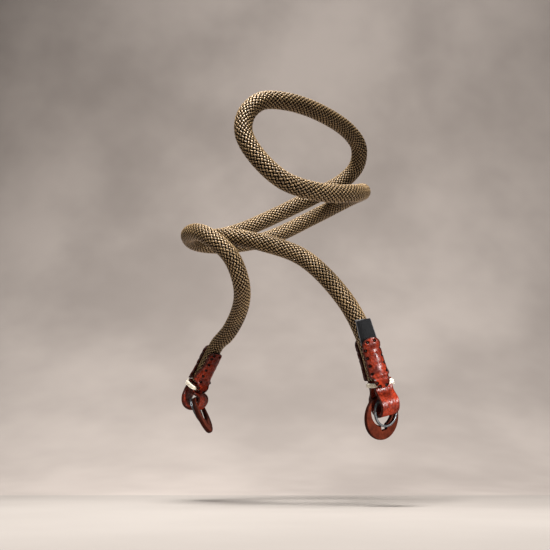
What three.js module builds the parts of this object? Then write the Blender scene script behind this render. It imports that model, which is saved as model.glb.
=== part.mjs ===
// Rope strap with a leather end fitting, a split ring and a round leather guard at each end.
// Millimetres, +Z up. The origin lies midway between the two ends, +X runs to the right end and -Y is
// the front. The rope stands in open loops above them.
import * as THREE from 'three';

// Gap kept between pieces that touch on the real strap.
const GAP = 0.3;

// Rope: a round braided rope, drawn as a plain tube that starts and ends inside the sleeves.
const ROPE_RADIUS = 5.25;
const ROPE_SIDES = 12;
const ROPE_STEPS = 78;
const ROPE_START = 0.4;
const PRESS_LOW = 26.0;
const PRESS_HIGH = 36.0;

// Loop: a leather strap folded through the ring eye and the guard's hole.
const LEATHER = 2.0;
const LOOP_WIDTH = 11.8;
const FOLD_STEPS = 14;
const NECK_INSIDE = 1.6;
const NECK_START = 15.0;
const NECK_LENGTH = 4.8;

// Binding: thread wound round the neck of the loop.
const BINDING_BOTTOM = 0.7;
const BINDING_HEIGHT = 3.2;
const BINDING_THICKNESS = 1.2;
const BINDING_CORNER = 2.2;

// Sleeve: two leather covers sewn round the end of the rope, above the neck of the loop.
const SLEEVE_START = 5.4;
const COVER_TOP = 24.0;
const COVER_LEATHER = 1.6;
const COVER_BEND = 6.4;
const COVER_HALF_WIDTH = 5.3;
const COVER_ROUND = 4.6;
const COVER_FOOT = -1.0;
const FOOT_ROUND = 1.8;
const COVER_FLARE = 0.8;
const FLARE_HEIGHT = 9.0;
const END_NARROW = 0.3;
const TONGUE_HALF_WIDTH = 4.5;
const TONGUE_SEAT = NECK_INSIDE + LEATHER + BINDING_THICKNESS + 4 * GAP;
const TONGUE_BEND = 26.0;
const TONGUE_STEP_LOW = 1.2;
const TONGUE_STEP_HIGH = 3.0;

// Label: a small plain tab tucked under the top of a cover.
const LABEL_HALF_WIDTH = 4.6;
const LABEL_WIDENING = 0.7;
const LABEL_BOTTOM = 21.0;
const LABEL_TOP = 35.0;
const LABEL_THICKNESS = 0.7;
const LABEL_SEAT = 5.5;
const LABEL_BEND = 8.0;
const LABEL_STEP_LOW = 4.0;
const LABEL_STEP_HIGH = 0.5;
const COVER_OVER_LABEL = LABEL_SEAT + LABEL_THICKNESS + GAP;
const BEND_OVER_LABEL = LABEL_BEND + LABEL_THICKNESS + GAP;

// Split ring and guard: the ring lies on the guard's outer face, both threaded by the loop.
const RING_OUTER = 9.0;
const RING_WIRE = 1.2;
const RING_DEPTH = 1.5;
const RING_CHAMFER = 0.35;
const RING_SIDES = 36;
const GUARD_RADIUS = 12.8;
const GUARD_HOLE = 8.2;
const GUARD_DROP = 3.7;
const GUARD_THICKNESS = 2.6;
const GUARD_BEVEL = 0.4;
const SLOT_HALF_WIDTH = 2.2;
const SLOT_DEPTH = 2.6;
const CIRCLE_STEPS = 20;

// One row for each end. eye: a point just under the fold. roll, pitch, yaw: how the loop is turned.
// neck, kink: how far the neck stands off the fold's middle, and how it leans. sway, twist, slip: how the
// sleeve leans sideways, turns about its axis and stands aside on the neck. wring: how far the fold is
// turned about the upright, against the neck. fold: where the fold's outer face lies. inside: half the room
// in it. tilt, turn, shift, drop, side: how the guard lies in the fold, with the ring on it. rise: how much
// higher than the guard's hole the ring sits. seat: how far the covers' inner faces stand from the sleeve's
// axis. foot: where a cover's tongue starts. tongueOut, tongueIn: how far the outer and inner covers reach
// down from there over the binding, 0 for a cover without a tongue. label: whether the outer cover holds
// the label. ropeStops: heights on the sleeve's axis that the rope passes through.
const ENDS = [
  { name: 'left', eye: [-69.5, -7.5, 3.0], roll: -2.2, pitch: -6, yaw: 180, neck: 0.4, kink: -30,
    sway: 0, twist: -7, slip: 0, wring: 15, fold: 0.2, inside: 5.2,
    tilt: 30, turn: 14, shift: -0.7, drop: 2.1, side: 0, rise: 1.0,
    seat: 4.6, foot: -0.4, tongueOut: 0, tongueIn: 5.0, label: false, ropeStops: [13, 25] },
  { name: 'right', eye: [70.4, 3.5, -4.6], roll: 15, pitch: 6, yaw: -27, neck: 0, kink: 0,
    sway: 6, twist: -10, slip: -1.4, wring: 0, fold: -1.4, inside: 5.2,
    tilt: 7, turn: 11, shift: -2.3, drop: -1.9, side: -1.7, rise: -0.4,
    seat: 5.5, foot: 0.4, tongueOut: 5.4, tongueIn: 0, label: true, ropeStops: [24] },
];

// The free stretch of the rope, from the left sleeve to the right one, as x, y, z.
const ROUTE = [
  [-31, -16, 52], [-9, -31, 64], [3, -46, 74], [4, -56, 86], [-5, -62, 97],
  [-20, -60, 105], [-36, -51, 108], [-44, -37, 108], [-41, -17, 110], [-24, 12, 118.5],
  [0, 33, 134.5], [33, 28, 139.5], [56.5, 7.5, 133], [66.5, -19.5, 122], [63, -45.5, 115.5],
  [53, -68, 118], [42, -79, 132], [36, -83, 146], [36, -81, 158], [40, -73, 168],
  [46, -57, 172.5], [50, -26, 175.5], [49, 8, 175], [47, 21, 170], [40, 29, 162],
  [30.5, 29, 154.5], [11.5, 14, 140.5], [-20.5, -12.5, 119.5], [-29, -24, 113.5], [-28, -38, 108],
  [-18, -48, 104], [-3, -50, 101], [18, -42, 95], [38, -30, 85], [61, -22, 58],
];

const ROPE_FINISH = { color: 0x8d7449, roughness: 0.9, metalness: 0 };
const LEATHER_FINISH = { color: 0x8a3a22, roughness: 0.45, metalness: 0 };
const GUARD_FINISH = { color: 0x9a4a2c, roughness: 0.6, metalness: 0 };
const THREAD_FINISH = { color: 0xe6dcc6, roughness: 0.8, metalness: 0 };
const STEEL_FINISH = { color: 0x8f9192, roughness: 0.3, metalness: 1 };
const LABEL_FINISH = { color: 0x17181a, roughness: 0.7, metalness: 0 };

const radians = THREE.MathUtils.degToRad;
const blend = (value, from, to) => THREE.MathUtils.smoothstep(value, from, to);

function piece(name, geometry, finish) {
  const mesh = new THREE.Mesh(geometry, new THREE.MeshStandardMaterial(finish));
  mesh.name = name;
  return mesh;
}

// A strip of leather curved round the sleeve's axis. Across and up the strip it follows halfWidthAt,
// and seatAt gives how far its inner face stands from the axis at each height.
function curvedStrip({ low, high, thickness, halfWidthAt, seatAt, bendAt, across = 10, up = 16 }) {
  const geometry = new THREE.BoxGeometry(2, 1, 1, across, up, 1);
  const place = geometry.attributes.position;
  for (let i = 0; i < place.count; i += 1) {
    const along = (1 - Math.cos(Math.PI * (place.getY(i) + 0.5))) / 2;
    const height = low + (high - low) * along;
    const bend = bendAt(height);
    const angle = (place.getX(i) * halfWidthAt(height)) / bend;
    const radius = bend + thickness * (place.getZ(i) + 0.5);
    const centre = seatAt(height) - bend;
    place.setXYZ(i, centre + radius * Math.cos(angle), radius * Math.sin(angle), height);
  }
  return geometry;
}

// Half the width of a cover with round ends: full in the middle, narrowing along an ellipse at each end.
function roundEnds(low, halfWidth, footRound) {
  return (height) => {
    const inFoot = (low + footRound - height) / footRound;
    const inTop = (height - (COVER_TOP - COVER_ROUND)) / COVER_ROUND;
    const inEnd = Math.max(0, inFoot, inTop);
    return halfWidth * Math.sqrt(1 - (1 - END_NARROW ** 2) * inEnd ** 2);
  };
}

// How far a cover stands out at its lower end, where it meets the neck.
function flareAt(height, low) {
  return COVER_FLARE * (1 - blend(height, low, low + FLARE_HEIGHT));
}

// Cover: a round-topped shell over the rope. It rises over the label where it holds one, and a tongue
// reaches down over the binding. A cover without a tongue flares a little at its foot.
function leatherCover(end, tongueLength, holdsLabel) {
  const low = tongueLength > 0 ? end.foot - tongueLength : COVER_FOOT;
  const body = roundEnds(low, COVER_HALF_WIDTH, FOOT_ROUND);
  const tongue = roundEnds(low, TONGUE_HALF_WIDTH, TONGUE_HALF_WIDTH);
  const halfWidthAt = (height) => {
    if (tongueLength === 0) return body(height);
    const share = blend(height, end.foot - GAP, end.foot + TONGUE_STEP_HIGH);
    return THREE.MathUtils.lerp(tongue(height), body(height), share);
  };
  const between = (onRope, onBinding, onLabel) => (height) => {
    const clear = blend(height, end.foot - TONGUE_STEP_LOW, end.foot + TONGUE_STEP_HIGH);
    const overBinding = tongueLength > 0 ? 1 - clear : 0;
    const covered = blend(height, LABEL_BOTTOM - LABEL_STEP_LOW, LABEL_BOTTOM - LABEL_STEP_HIGH);
    const overLabel = holdsLabel ? covered : 0;
    return onRope + overBinding * (onBinding - onRope) + overLabel * (onLabel - onRope);
  };
  const flat = between(end.seat, TONGUE_SEAT, COVER_OVER_LABEL);
  const seatAt = (height) => (tongueLength > 0 ? flat(height) : flat(height) + flareAt(height, low));
  const bendAt = between(COVER_BEND, TONGUE_BEND, BEND_OVER_LABEL);
  return curvedStrip({ low, high: COVER_TOP, thickness: COVER_LEATHER, halfWidthAt, seatAt, bendAt, up: 22 });
}

function label() {
  const down = (height) => (LABEL_TOP - height) / (LABEL_TOP - LABEL_BOTTOM);
  const halfWidthAt = (height) => LABEL_HALF_WIDTH + LABEL_WIDENING * down(height);
  return curvedStrip({ low: LABEL_BOTTOM, high: LABEL_TOP, thickness: LABEL_THICKNESS, halfWidthAt,
    seatAt: () => LABEL_SEAT, bendAt: () => LABEL_BEND, across: 6, up: 4 });
}

// The loop's edge-on outline: a round fold at the bottom, sides that close in to the neck, and two tails
// that lean with the neck.
function loopSide(end, offset) {
  const half = end.inside + offset;
  const centre = end.fold + LEATHER + end.inside;
  const lean = new THREE.Vector2(Math.sin(radians(end.kink)), Math.cos(radians(end.kink)));
  const across = new THREE.Vector2(lean.y, -lean.x).multiplyScalar(NECK_INSIDE + offset);
  const shoulder = (NECK_START - centre) / 2;
  const sideFrom = (sign) => {
    const foot = new THREE.Vector2(end.neck, NECK_START).addScaledVector(across, sign);
    const rise = new THREE.CubicBezierCurve(
      new THREE.Vector2(sign * half, centre), new THREE.Vector2(sign * half, centre + shoulder),
      foot.clone().addScaledVector(lean, -shoulder), foot);
    return [...rise.getPoints(FOLD_STEPS / 2), foot.clone().addScaledVector(lean, NECK_LENGTH)];
  };
  const fold = [];
  for (let i = 1; i < FOLD_STEPS; i += 1) {
    const angle = -Math.PI * (i / FOLD_STEPS);
    fold.push(new THREE.Vector2(half * Math.cos(angle), centre + half * Math.sin(angle)));
  }
  return [...sideFrom(1).reverse(), ...fold, ...sideFrom(-1)];
}

// Turns the loop's lower part about the upright, less and less towards the neck.
function wrung(geometry, end) {
  const place = geometry.attributes.position;
  const centre = end.fold + LEATHER + end.inside;
  for (let i = 0; i < place.count; i += 1) {
    const angle = radians(end.wring) * (1 - blend(place.getZ(i), centre, NECK_START));
    const [x, y] = [place.getX(i), place.getY(i)];
    place.setX(i, x * Math.cos(angle) - y * Math.sin(angle));
    place.setY(i, x * Math.sin(angle) + y * Math.cos(angle));
  }
  return geometry;
}

function loop(end) {
  const outside = loopSide(end, LEATHER);
  const inside = loopSide(end, 0).reverse();
  const band = new THREE.Shape([...outside, ...inside]);
  const geometry = new THREE.ExtrudeGeometry(band, { depth: LOOP_WIDTH, bevelEnabled: false });
  return wrung(geometry.translate(0, 0, -LOOP_WIDTH / 2).rotateX(Math.PI / 2), end);
}

function roundedRectangle(path, halfX, halfY, corner) {
  path.moveTo(halfX, -halfY + corner);
  path.absarc(halfX - corner, halfY - corner, corner, 0, Math.PI / 2);
  path.absarc(-halfX + corner, halfY - corner, corner, Math.PI / 2, Math.PI);
  path.absarc(-halfX + corner, -halfY + corner, corner, Math.PI, Math.PI * 1.5);
  path.absarc(halfX - corner, -halfY + corner, corner, Math.PI * 1.5, Math.PI * 2);
  return path;
}

function binding() {
  const halfX = NECK_INSIDE + LEATHER + GAP;
  const halfY = LOOP_WIDTH / 2 + GAP;
  const thread = BINDING_THICKNESS;
  const corner = BINDING_CORNER + thread;
  const outline = roundedRectangle(new THREE.Shape(), halfX + thread, halfY + thread, corner);
  outline.holes.push(roundedRectangle(new THREE.Path(), halfX, halfY, GAP));
  const wound = { depth: BINDING_HEIGHT, bevelEnabled: false, curveSegments: 5 };
  return new THREE.ExtrudeGeometry(outline, wound).translate(0, 0, BINDING_BOTTOM);
}

// Split ring: a closed ring with chamfered edges. Its axis lies along x.
function splitRing() {
  const inner = RING_OUTER - RING_WIRE;
  const half = RING_DEPTH / 2;
  const cut = RING_CHAMFER;
  const section = [
    [inner, -half + cut], [inner + cut, -half], [RING_OUTER - cut, -half], [RING_OUTER, -half + cut],
    [RING_OUTER, half - cut], [RING_OUTER - cut, half], [inner + cut, half], [inner, half - cut],
    [inner, -half + cut],
  ].map(([x, y]) => new THREE.Vector2(x, y));
  return new THREE.LatheGeometry(section, RING_SIDES).rotateZ(-Math.PI / 2);
}

// Guard: a round leather disc whose hole sits above its middle, with a small slot under the hole.
function guard() {
  const inset = GUARD_BEVEL;
  const disc = new THREE.Shape().absarc(0, -GUARD_DROP, GUARD_RADIUS - inset, 0, Math.PI * 2);
  const slotSide = Math.asin((SLOT_HALF_WIDTH + inset) / (GUARD_HOLE + inset));
  const floor = -(GUARD_HOLE + SLOT_DEPTH + inset);
  const hole = new THREE.Path();
  hole.absarc(0, 0, GUARD_HOLE + inset, -Math.PI / 2 + slotSide, Math.PI * 1.5 - slotSide);
  hole.lineTo(-SLOT_HALF_WIDTH - inset, floor);
  hole.lineTo(SLOT_HALF_WIDTH + inset, floor);
  hole.closePath();
  disc.holes.push(hole);
  const cut = { depth: GUARD_THICKNESS - 2 * inset, bevelThickness: inset, bevelSize: inset, bevelSegments: 1,
    curveSegments: CIRCLE_STEPS };
  const geometry = new THREE.ExtrudeGeometry(disc, cut).translate(0, 0, inset - GUARD_THICKNESS / 2);
  return geometry.rotateX(Math.PI / 2).rotateZ(Math.PI / 2);
}

// The hardware group holds the guard and ring, which hang from the fold's wall and turn with it.
function hardware(end) {
  const group = new THREE.Group();
  const up = new THREE.Vector3(Math.sin(radians(end.tilt)), 0, Math.cos(radians(end.tilt)));
  const out = new THREE.Vector3(Math.cos(radians(end.tilt)), 0, -Math.sin(radians(end.tilt)));
  group.position.set(0, 0, end.fold + LEATHER + end.inside);
  group.position.addScaledVector(up, -(end.inside + LEATHER / 2 + end.drop)).addScaledVector(out, end.shift);
  group.rotation.set(0, radians(end.tilt), radians(end.turn), 'YZX');
  const turned = new THREE.Group();
  turned.rotation.z = radians(end.wring);
  turned.add(group);
  const ring = piece(`${end.name}_split_ring`, splitRing(), STEEL_FINISH);
  ring.position.set(GUARD_THICKNESS / 2 + GAP + RING_DEPTH / 2, 0, end.rise);
  const disc = piece(`${end.name}_guard`, guard(), GUARD_FINISH);
  disc.position.y = end.side;
  group.add(disc, ring);
  return turned;
}

function sleeve(end) {
  const group = new THREE.Group();
  const outer = leatherCover(end, end.tongueOut, end.label);
  const inner = leatherCover(end, end.tongueIn, false).rotateZ(Math.PI);
  group.position.set(0, end.slip, SLEEVE_START);
  group.rotation.set(radians(end.sway), 0, radians(end.twist));
  group.add(piece(`${end.name}_cover_outer`, outer, LEATHER_FINISH));
  group.add(piece(`${end.name}_cover_inner`, inner, LEATHER_FINISH));
  if (end.label) group.add(piece('label_tab', label(), LABEL_FINISH));
  return group;
}

// The loop stands on its fold. Its neck, with the binding and the sleeve, leans by the kink.
function fitting(end) {
  const group = new THREE.Group();
  group.position.set(...end.eye);
  group.rotation.set(radians(end.roll), radians(end.pitch), radians(end.yaw), 'ZYX');
  const neck = new THREE.Group();
  neck.position.set(end.neck, 0, NECK_START);
  neck.rotation.y = radians(end.kink);
  const cover = sleeve(end);
  neck.add(piece(`${end.name}_binding`, binding(), THREAD_FINISH), cover);
  group.add(piece(`${end.name}_loop`, loop(end), LEATHER_FINISH), hardware(end), neck);
  group.updateMatrixWorld(true);
  return { end, group, cover };
}

// Points on a sleeve's axis, where the rope runs straight.
function sleeveStops({ end, cover }) {
  return [ROPE_START, ...end.ropeStops].map((height) => cover.localToWorld(new THREE.Vector3(0, 0, height)));
}

// Presses the rope flat between the covers of one sleeve, and lets it swell to its round section above them.
function pressInSleeve(geometry, { end, cover }) {
  const place = geometry.attributes.position;
  const point = new THREE.Vector3();
  const reach = ROPE_RADIUS * 2;
  for (let i = 0; i < place.count; i += 1) {
    cover.worldToLocal(point.fromBufferAttribute(place, i));
    if (Math.hypot(point.x, point.y) < reach && point.z < PRESS_HIGH && point.z > 0) {
      const pressed = 1 - blend(point.z, PRESS_LOW, PRESS_HIGH);
      point.x *= 1 - pressed * (1 - (end.seat - GAP) / ROPE_RADIUS);
    }
    cover.localToWorld(point);
    place.setXYZ(i, point.x, point.y, point.z);
  }
}

function rope(start, finish) {
  const free = ROUTE.map((point) => new THREE.Vector3(...point));
  const stops = [...sleeveStops(start), ...free, ...sleeveStops(finish).reverse()];
  const path = new THREE.CatmullRomCurve3(stops, false, 'centripetal');
  const section = new THREE.Shape();
  for (let i = 0; i < ROPE_SIDES; i += 1) {
    const angle = (2 * Math.PI * i) / ROPE_SIDES;
    const corner = [ROPE_RADIUS * Math.cos(angle), ROPE_RADIUS * Math.sin(angle)];
    if (i === 0) section.moveTo(...corner);
    else section.lineTo(...corner);
  }
  section.closePath();
  const swept = { steps: ROPE_STEPS, extrudePath: path, bevelEnabled: false };
  const tube = new THREE.ExtrudeGeometry(section, swept);
  pressInSleeve(tube, start);
  pressInSleeve(tube, finish);
  return tube;
}

const strap = new THREE.Group();
const [left, right] = ENDS.map(fitting);
strap.add(piece('rope', rope(left, right), ROPE_FINISH), left.group, right.group);

export default strap;
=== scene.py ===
"""Looks of a braided rope strap with leather end fittings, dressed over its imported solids.

Sizes are in millimetres in the strap's own frame, and become metres when a mesh is made.
"""

import logging
import math
from collections.abc import Callable
from dataclasses import dataclass, field
from enum import Enum
from itertools import accumulate
from typing import Any

import bpy
import numpy as np
from mathutils import Matrix


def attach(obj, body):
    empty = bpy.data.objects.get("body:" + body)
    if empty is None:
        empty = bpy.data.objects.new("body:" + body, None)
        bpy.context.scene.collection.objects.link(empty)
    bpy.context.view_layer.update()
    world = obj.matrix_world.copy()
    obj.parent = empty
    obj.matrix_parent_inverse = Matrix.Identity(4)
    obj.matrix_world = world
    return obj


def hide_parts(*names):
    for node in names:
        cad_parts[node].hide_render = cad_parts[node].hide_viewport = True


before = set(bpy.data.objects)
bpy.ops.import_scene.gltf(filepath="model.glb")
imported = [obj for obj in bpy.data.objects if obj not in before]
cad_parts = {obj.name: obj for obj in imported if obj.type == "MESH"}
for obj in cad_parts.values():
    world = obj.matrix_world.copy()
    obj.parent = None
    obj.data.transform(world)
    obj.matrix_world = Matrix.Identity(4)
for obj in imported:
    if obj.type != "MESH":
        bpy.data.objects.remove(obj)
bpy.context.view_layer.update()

Array = np.ndarray
Colour = tuple[float, float, float, float]
Size = Callable[[Array], Array]
METRE = 0.001
TURN = 2 * np.pi
UP = np.array([0, 0, 1.0])
BODY = "root"
log = logging.getLogger("strap")


class Axis(Enum):
    """The two rows that a turn about each axis mixes."""

    X = (1, 2)
    Y = (2, 0)
    Z = (0, 1)


class Side(Enum):
    """Which end of the strap a fitting is on."""

    LEFT = "left"
    RIGHT = "right"


class Slant(Enum):
    """Which way a strand of the braid winds round the rope."""

    RISING = 1.0
    FALLING = -1.0


def colour(code: str) -> Colour:
    """Turn a six-digit display colour into linear light.

    Args:
        code: red, green and blue as hexadecimal pairs.

    Returns:
        Red, green, blue and full opacity in linear light.
    """
    parts = np.array([int(code[i:i + 2], 16) for i in (0, 2, 4)]) / 255
    linear = np.where(parts <= 0.04045, parts / 12.92, ((parts + 0.055) / 1.055) ** 2.4)
    return (float(linear[0]), float(linear[1]), float(linear[2]), 1.0)


def moved(x: float, y: float, z: float) -> Array:
    """Return the 4 by 4 matrix of a shift."""
    matrix = np.eye(4)
    matrix[:3, 3] = (x, y, z)
    return matrix


def turned(axis: Axis, degrees: float) -> Array:
    """Return the 4 by 4 matrix of a right-handed turn about one axis.

    Args:
        axis: the axis to turn about.
        degrees: the angle.

    Returns:
        The matrix.
    """
    first, second = axis.value
    angle = math.radians(degrees)
    matrix = np.eye(4)
    matrix[first, first] = matrix[second, second] = math.cos(angle)
    matrix[first, second] = -math.sin(angle)
    matrix[second, first] = math.sin(angle)
    return matrix


def placed(matrix: Array, points: Array) -> Array:
    """Return points of any array shape carried by a 4 by 4 matrix."""
    return points @ matrix[:3, :3].T + matrix[:3, 3]


def smooth(value: Array | float, low: float, high: float) -> Array:
    """Return the soft step that rises from 0 at low to 1 at high, as 3t squared less 2t cubed."""
    share = np.clip((np.asarray(value, float) - low) / (high - low), 0, 1)
    return share * share * (3 - 2 * share)


def bell(away: Array, width: float) -> Array:
    """Return the bell that falls from 1 as a point moves away, as e to the less (away over width) squared."""
    return np.exp(-((away / width) ** 2))


def scatter(seed: Array) -> Array:
    """Return fixed pseudo-random numbers from 0 to 1, the fraction of a large sine of each seed."""
    wave = np.sin(np.asarray(seed, float) * 12.9898 + 4.137) * 43758.5453
    return wave - np.floor(wave)


def unit(vectors: Array) -> Array:
    """Return vectors scaled to a length of 1."""
    return vectors / np.linalg.norm(vectors, axis=-1, keepdims=True)


def distances(line: Array) -> Array:
    """Return how far along a line of points each one lies."""
    return np.concatenate([[0], np.cumsum(np.linalg.norm(np.diff(line, axis=0), axis=1))])


def evenly(line: Array, count: int) -> tuple[Array, Array]:
    """Space points evenly on a line of points, by straight steps between them.

    Args:
        line: the points, in order.
        count: how many points to return.

    Returns:
        The new points, and how far along the line each lies.
    """
    gone = distances(line)
    even = np.linspace(0, gone[-1], count)
    return np.stack([np.interp(even, gone, line[:, k]) for k in range(3)], 1), even


def math_operator(operation: str, reflected: bool = False) -> Callable[["Value", Any], "Value"]:
    """Make an operator that adds one Math node.

    Args:
        operation: what the node does with its two terms.
        reflected: whether the value is the second term, as in 1 - mask.

    Returns:
        The operator.
    """
    def operate(value: "Value", other: Any) -> "Value":
        """Return the node's result."""
        first, second = (other, value) if reflected else (value, other)
        return value.board.add("ShaderNodeMath", {"operation": operation}, {0: first, 1: second})

    return operate


class Value:
    """A shader socket in a sum. Each operator adds one Math node to the socket's tree."""

    __add__ = math_operator("ADD")
    __radd__ = math_operator("ADD", reflected=True)
    __sub__ = math_operator("SUBTRACT")
    __rsub__ = math_operator("SUBTRACT", reflected=True)
    __mul__ = math_operator("MULTIPLY")
    __rmul__ = math_operator("MULTIPLY", reflected=True)
    __pow__ = math_operator("POWER")

    def __init__(self, board: "Board", socket: bpy.types.NodeSocket) -> None:
        """Keep the socket and the board whose tree it belongs to."""
        self.board = board
        self.socket = socket

    def sine(self) -> "Value":
        """Return the sine of this value."""
        return self.board.add("ShaderNodeMath", {"operation": "SINE"}, {0: self})

    def wave(self) -> "Value":
        """Return the sine of this value, brought between 0 and 1."""
        return self.sine() * 0.5 + 0.5

    def step(self, low: float, high: float) -> "Value":
        """Return the soft step that rises from 0 at low to 1 at high."""
        return self.board.add(
            "ShaderNodeMapRange",
            {"interpolation_type": "SMOOTHSTEP"},
            {"Value": self, "From Min": low, "From Max": high, "To Min": 0.0, "To Max": 1.0},
        )


class Board:
    """A material and its node tree, on which a finish lays out its nodes."""

    def __init__(self, name: str) -> None:
        """Make an empty node material of that name."""
        self.material = bpy.data.materials.new(name)
        self.material.use_nodes = True
        self.tree = self.material.node_tree
        self.tree.nodes.clear()

    def add(
        self,
        kind: str,
        settings: dict[str, Any] | None = None,
        inputs: dict[int | str, Any] | None = None,
        out: int | str = 0,
    ) -> Value:
        """Add one node.

        Args:
            kind: the node's type.
            settings: properties that are set first.
            inputs: values or links, by socket name or place.
            out: the output socket that is handed back.

        Returns:
            The wrapped output socket.
        """
        node = self.tree.nodes.new(kind)
        for key, value in (settings or {}).items():
            setattr(node, key, value)
        for key, value in (inputs or {}).items():
            if isinstance(value, Value):
                self.tree.links.new(value.socket, node.inputs[key])
            else:
                node.inputs[key].default_value = value
        return Value(self, node.outputs[out])

    def place(self) -> Value:
        """Return the point on the object, in metres."""
        return self.add("ShaderNodeTexCoord", out="Object")

    def flat_place(self) -> Value:
        """Return the point on the piece's own surface map, in millimetres."""
        return self.add("ShaderNodeUVMap", {"uv_map": "UVMap"})

    def stretched_place(self, along: float, across: float) -> Value:
        """Return the point on the surface map scaled along and across, to draw a pattern out."""
        inputs = {"Vector": self.flat_place(), "Scale": (along, across, 1.0)}
        return self.add("ShaderNodeMapping", None, inputs)

    def along_and_across(self) -> tuple[Value, Value]:
        """Return the two coordinates of the piece's own surface map."""
        flat = self.flat_place()
        along = self.add("ShaderNodeSeparateXYZ", None, {0: flat}, "X")
        across = self.add("ShaderNodeSeparateXYZ", None, {0: flat}, "Y")
        return along, across

    def mark(self, name: str) -> Value:
        """Return a number that the mesh carries at each vertex."""
        return self.add("ShaderNodeAttribute", {"attribute_name": name}, None, "Fac")

    def noise(self, place: Value, scale: float, detail: float, rough: float) -> Value:
        """Return soft random cloud, about 0 to 1."""
        inputs = {"Vector": place, "Scale": scale, "Detail": detail, "Roughness": rough}
        return self.add("ShaderNodeTexNoise", None, inputs)

    def cracks(self, place: Value, scale: float) -> Value:
        """Return the distance to the nearest line of an irregular net."""
        settings = {"feature": "DISTANCE_TO_EDGE"}
        return self.add("ShaderNodeTexVoronoi", settings, {"Vector": place, "Scale": scale}, "Distance")

    def mixed(self, share: Any, first: Any, second: Any) -> Value:
        """Return two colours mixed by a share from 0 to 1."""
        return self.add("ShaderNodeMix", {"data_type": "RGBA"}, {0: share, 6: first, 7: second}, 2)

    def layered(self, base: str, *layers: tuple[Any, str]) -> Value:
        """Lay colours over a base in turn.

        Args:
            base: the display colour at the bottom.
            layers: the share from 0 to 1 and the display colour of each layer.

        Returns:
            The colour on top.
        """
        tone: Any = colour(base)
        for share, code in layers:
            tone = self.mixed(share, tone, colour(code))
        return tone

    def bump(self, height: Value, depth: float, strength: float) -> Value:
        """Return the normal bent by a height map whose full range is depth, in millimetres."""
        inputs = {"Height": height, "Distance": depth * METRE, "Strength": strength}
        return self.add("ShaderNodeBump", None, inputs, "Normal")

    def surface(self, **sockets: Any) -> bpy.types.Material:
        """Join the main shader to the output.

        Args:
            sockets: the shader's sockets, with underscores for spaces.

        Returns:
            The finished material.
        """
        inputs = {key.replace("_", " "): value for key, value in sockets.items()}
        shader = self.add("ShaderNodeBsdfPrincipled", None, inputs)
        output = self.tree.nodes.new("ShaderNodeOutputMaterial")
        self.tree.links.new(shader.socket, output.inputs["Surface"])
        return self.material


@dataclass(frozen=True)
class BraidYarn:
    """Cotton yarn: olive brown flanks, pale tan crowns that are a painted highlight varied at random by
    strand, and painted shade nearly black in the gaps.
    """

    # crown is a painted highlight on each dome's top; deep and gap are painted shade between the threads and
    # between the domes.
    crown: str = "bb9a6c"
    flank: str = "5b442b"
    deep: str = "21180d"
    gap: str = "030202"
    thread_rate: float = 15.0
    thread_waver: float = 2.4

    def material(self) -> bpy.types.Material:
        """Return the yarn, with fine threads along each strand, painted shade between the threads and a fuzz
        between them.
        """
        board = Board("braid_yarn")
        lift = board.mark("lift")
        across = board.along_and_across()[1]
        fuzz = board.noise(board.place(), scale=3800, detail=3, rough=0.7)
        threads = (across * self.thread_rate + fuzz * self.thread_waver).wave()
        # The crown layer paints a highlight on the raised middle of each dome, scaled by the strand's random
        # tone; the deep layer paints shade in the grooves between threads.
        yarn = board.layered(
            self.flank,
            (board.mark("tone") * lift.step(0.5, 1.0), self.crown),
            ((1 - threads) * 0.5 + fuzz * 0.15, self.deep),
        )
        return board.surface(
            # The gap colour paints shade where the domes sink to the core.
            Base_Color=board.mixed(lift.step(0.44, 0.96), colour(self.gap), yarn),
            Metallic=lift.step(0.75, 1.0) * 0.3,
            Coat_Weight=lift.step(0.7, 1.0) * 0.9,
            Coat_Roughness=0.38,
            Roughness=0.9 - lift.step(0.5, 1.0) * 0.48,
            Normal=board.bump(threads * 0.6 + fuzz * 0.7, depth=0.05, strength=0.8),
            Specular_IOR_Level=0.06,
        )


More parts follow.
